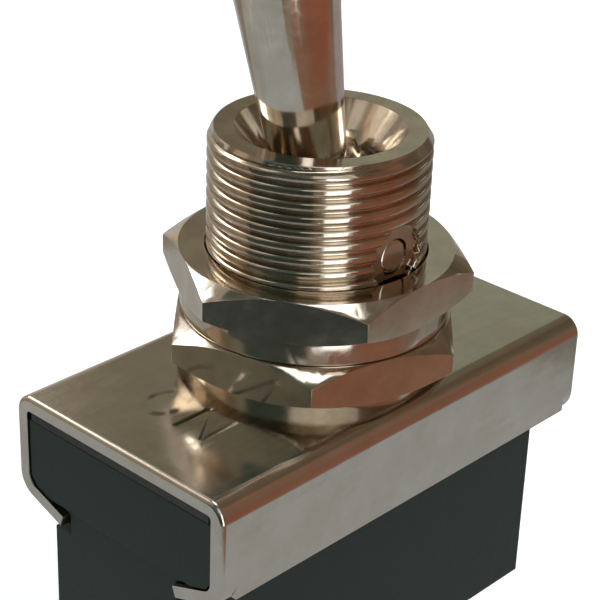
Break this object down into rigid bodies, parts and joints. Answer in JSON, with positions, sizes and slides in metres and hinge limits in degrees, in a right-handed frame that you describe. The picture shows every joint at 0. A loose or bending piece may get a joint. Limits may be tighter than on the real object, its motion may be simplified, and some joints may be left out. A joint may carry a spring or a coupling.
{
  "type": "panel toggle switch",
  "caption": "Single-pole panel toggle switch with a metal bat lever in a threaded bushing, on a folded metal frame that clamps a dark moulded base with blade terminals.",
  "frame": {"origin": "on the bushing's axis, level with the top face of the folded frame", "axes": "+Z along the bushing and out of the panel, X along the frame's length and the lever's swing, with the lever stored leaning to -X; Y is the lever's pivot axis"},
  "size_m": [0.0292, 0.017, 0.0587],
  "materials": {
    "nickel_plate": "bright nickel plate on steel",
    "nickel_bushing": "bright nickel plate, threaded",
    "phenolic": "satin moulded phenolic, dark green-black",
    "fibre": "pressed vulcanised fibre",
    "terminal_brass": "rolled brass strip",
    "contact_copper": "rolled bronze strip",
    "contact_silver": "silver contact alloy",
    "spring_steel": "drawn spring wire"
  },
  "bodies": {
    "switch_body": {"frame": "nickel_plate", "bushing": "nickel_bushing", "lower_nut": "nickel_plate", "washer": "nickel_plate", "upper_nut": "nickel_plate", "pivot_pin": "nickel_plate", "insulating_card": "fibre", "base": "phenolic", "centre_terminal": "terminal_brass", "cradle": "contact_copper", "centre_rivet": "terminal_brass", "side_terminal": "terminal_brass", "contact_bracket": "contact_copper", "side_rivet": "terminal_brass", "fixed_contact": "contact_silver"},
    "lever": {"lever": "nickel_plate", "plunger_spring": "spring_steel"},
    "plunger": {"plunger": "fibre"},
    "rocker": {"rocker": "contact_copper", "moving_contact": "contact_silver"}
  },
  "joints": [
    {"name": "lever", "type": "hinge", "parent": "switch_body", "child": "lever", "pos_m": [0, 0, 0.0079], "axis": [0, 1, 0], "range_deg": [0, 24.4]},
    {"name": "plunger", "type": "slide", "parent": "lever", "child": "plunger", "axis": [-0.2113, 0, 0.9774], "range_m": [0, 0.0008], "stiffness_N_per_m": 1500, "deforming": ["plunger_spring"]},
    {"name": "rocker", "type": "hinge", "parent": "switch_body", "child": "rocker", "pos_m": [0, 0, -0.00763], "axis": [0, -1, 0], "range_deg": [0, 16]}
  ],
  "couplings": [
    {"joint": "rocker", "follows": "lever", "ratio": 0.65574}
  ]
}
